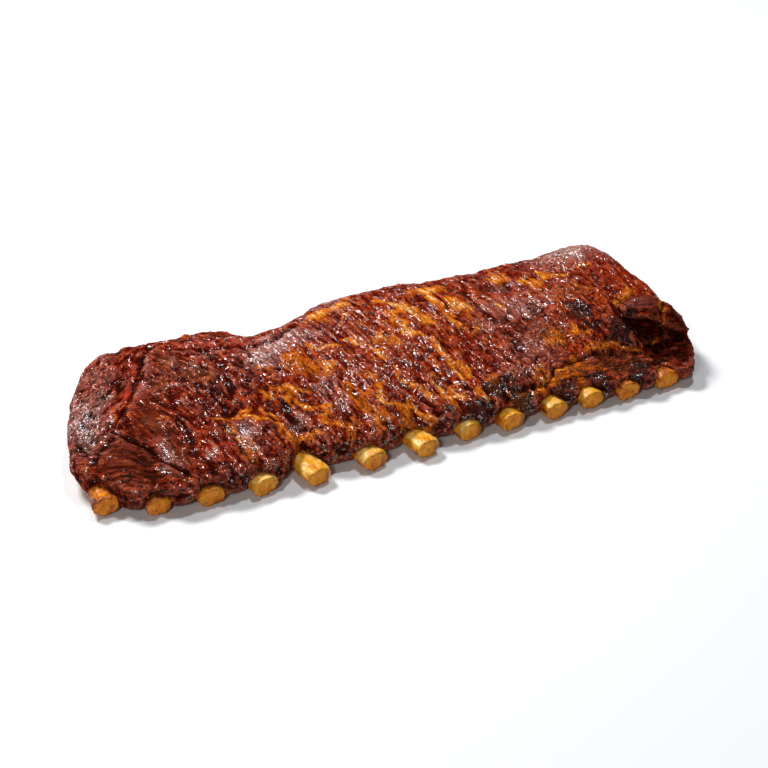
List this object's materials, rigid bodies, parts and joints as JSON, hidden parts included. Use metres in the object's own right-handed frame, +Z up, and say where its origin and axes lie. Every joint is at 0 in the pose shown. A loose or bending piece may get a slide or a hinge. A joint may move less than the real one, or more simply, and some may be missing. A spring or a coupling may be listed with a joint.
{
  "type": "rack of ribs",
  "caption": "Cooked rack of pork ribs: a long glazed slab of meat on curved rib bones, whose cut ends stick out along the front edge.",
  "frame": {"origin": "under the middle of the rack, on the surface that it lies on", "axes": "+X along the rack, -Y towards the bare bone ends, +Z up from the bone side to the meaty side"},
  "size_m": [0.3848, 0.1454, 0.0447],
  "materials": {
    "meat": "dark red-brown roasted meat under a thin sticky glaze, with orange fat, black scorched spots and pepper",
    "bone": "cooked bone, ivory to amber, stained orange where the sauce has run, with open spongy cut ends"
  },
  "bodies": {
    "root": {"meat_slab": "meat", "rib_bone_01": "bone", "rib_bone_02": "bone", "rib_bone_03": "bone", "rib_bone_04": "bone", "rib_bone_05": "bone", "rib_bone_06": "bone", "rib_bone_07": "bone", "rib_bone_08": "bone", "rib_bone_09": "bone", "rib_bone_10": "bone", "rib_bone_11": "bone", "rib_bone_12": "bone", "rib_bone_13": "bone"}
  },
  "joints": []
}
